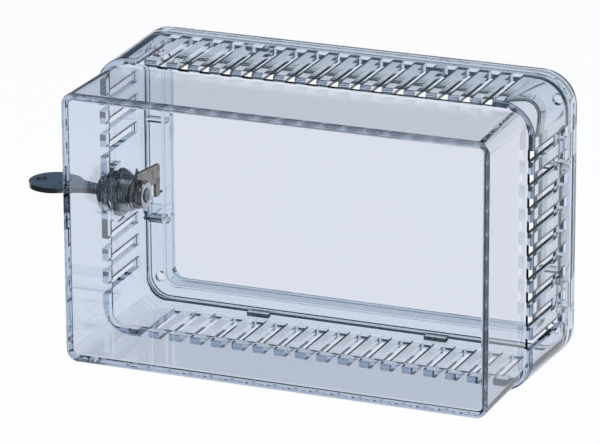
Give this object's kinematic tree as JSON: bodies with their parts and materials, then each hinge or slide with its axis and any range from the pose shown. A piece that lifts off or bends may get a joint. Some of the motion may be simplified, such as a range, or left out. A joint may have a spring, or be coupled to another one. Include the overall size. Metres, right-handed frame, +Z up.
{
  "type": "locking wall guard",
  "caption": "Clear vented guard for a small wall device: a swing cover with a key lock closes over a screw-on base ring with an open window.",
  "frame": {"origin": "centre of the back face of the base ring, on the wall, which is also the centre of the wall screws", "axes": "+X to the right seen from the room, +Y into the wall, +Z up; the cover's front faces -Y"},
  "size_m": [0.2058, 0.0814, 0.1116],
  "materials": {
    "clear_cover": "clear, polished",
    "clear_base": "clear, polished",
    "plated_barrel": "bright plated die casting",
    "plated_nut": "bright plated",
    "plated_plug": "bright plated",
    "bright_steel": "zinc plated",
    "cam_steel": "stamped, zinc plated",
    "key_steel": "nickel plated, dull",
    "tumbler_brass": "stamped",
    "spring_steel": "drawn wire"
  },
  "bodies": {
    "base": {"base": "clear_base"},
    "cover": {"cover": "clear_cover", "lock_housing": "plated_barrel", "lock_washer": "bright_steel", "lock_nut": "plated_nut"},
    "lock_core": {"lock_plug": "plated_plug", "wafer_1": "tumbler_brass", "wafer_2": "tumbler_brass", "wafer_3": "tumbler_brass", "wafer_4": "tumbler_brass", "wafer_5": "tumbler_brass", "spring_1": "spring_steel", "spring_2": "spring_steel", "spring_3": "spring_steel", "spring_4": "spring_steel", "spring_5": "spring_steel", "stop_washer": "bright_steel", "cam": "cam_steel", "cam_washer": "bright_steel", "cam_nut": "plated_nut"},
    "key": {"key": "key_steel"}
  },
  "joints": [
    {"name": "cover_swing", "type": "hinge", "parent": "base", "child": "cover", "pos_m": [0.0875, -0.0026, 0], "axis": [0, 0, 1], "range_deg": [0, 50]},
    {"name": "lock_turn", "type": "hinge", "parent": "cover", "child": "lock_core", "pos_m": [-0.0869, -0.0339, 0], "axis": [1, 0, 0], "range_deg": [-20, 65]},
    {"name": "key_draw", "type": "slide", "parent": "lock_core", "child": "key", "axis": [-1, 0, 0], "range_m": [0, 0.016]}
  ]
}
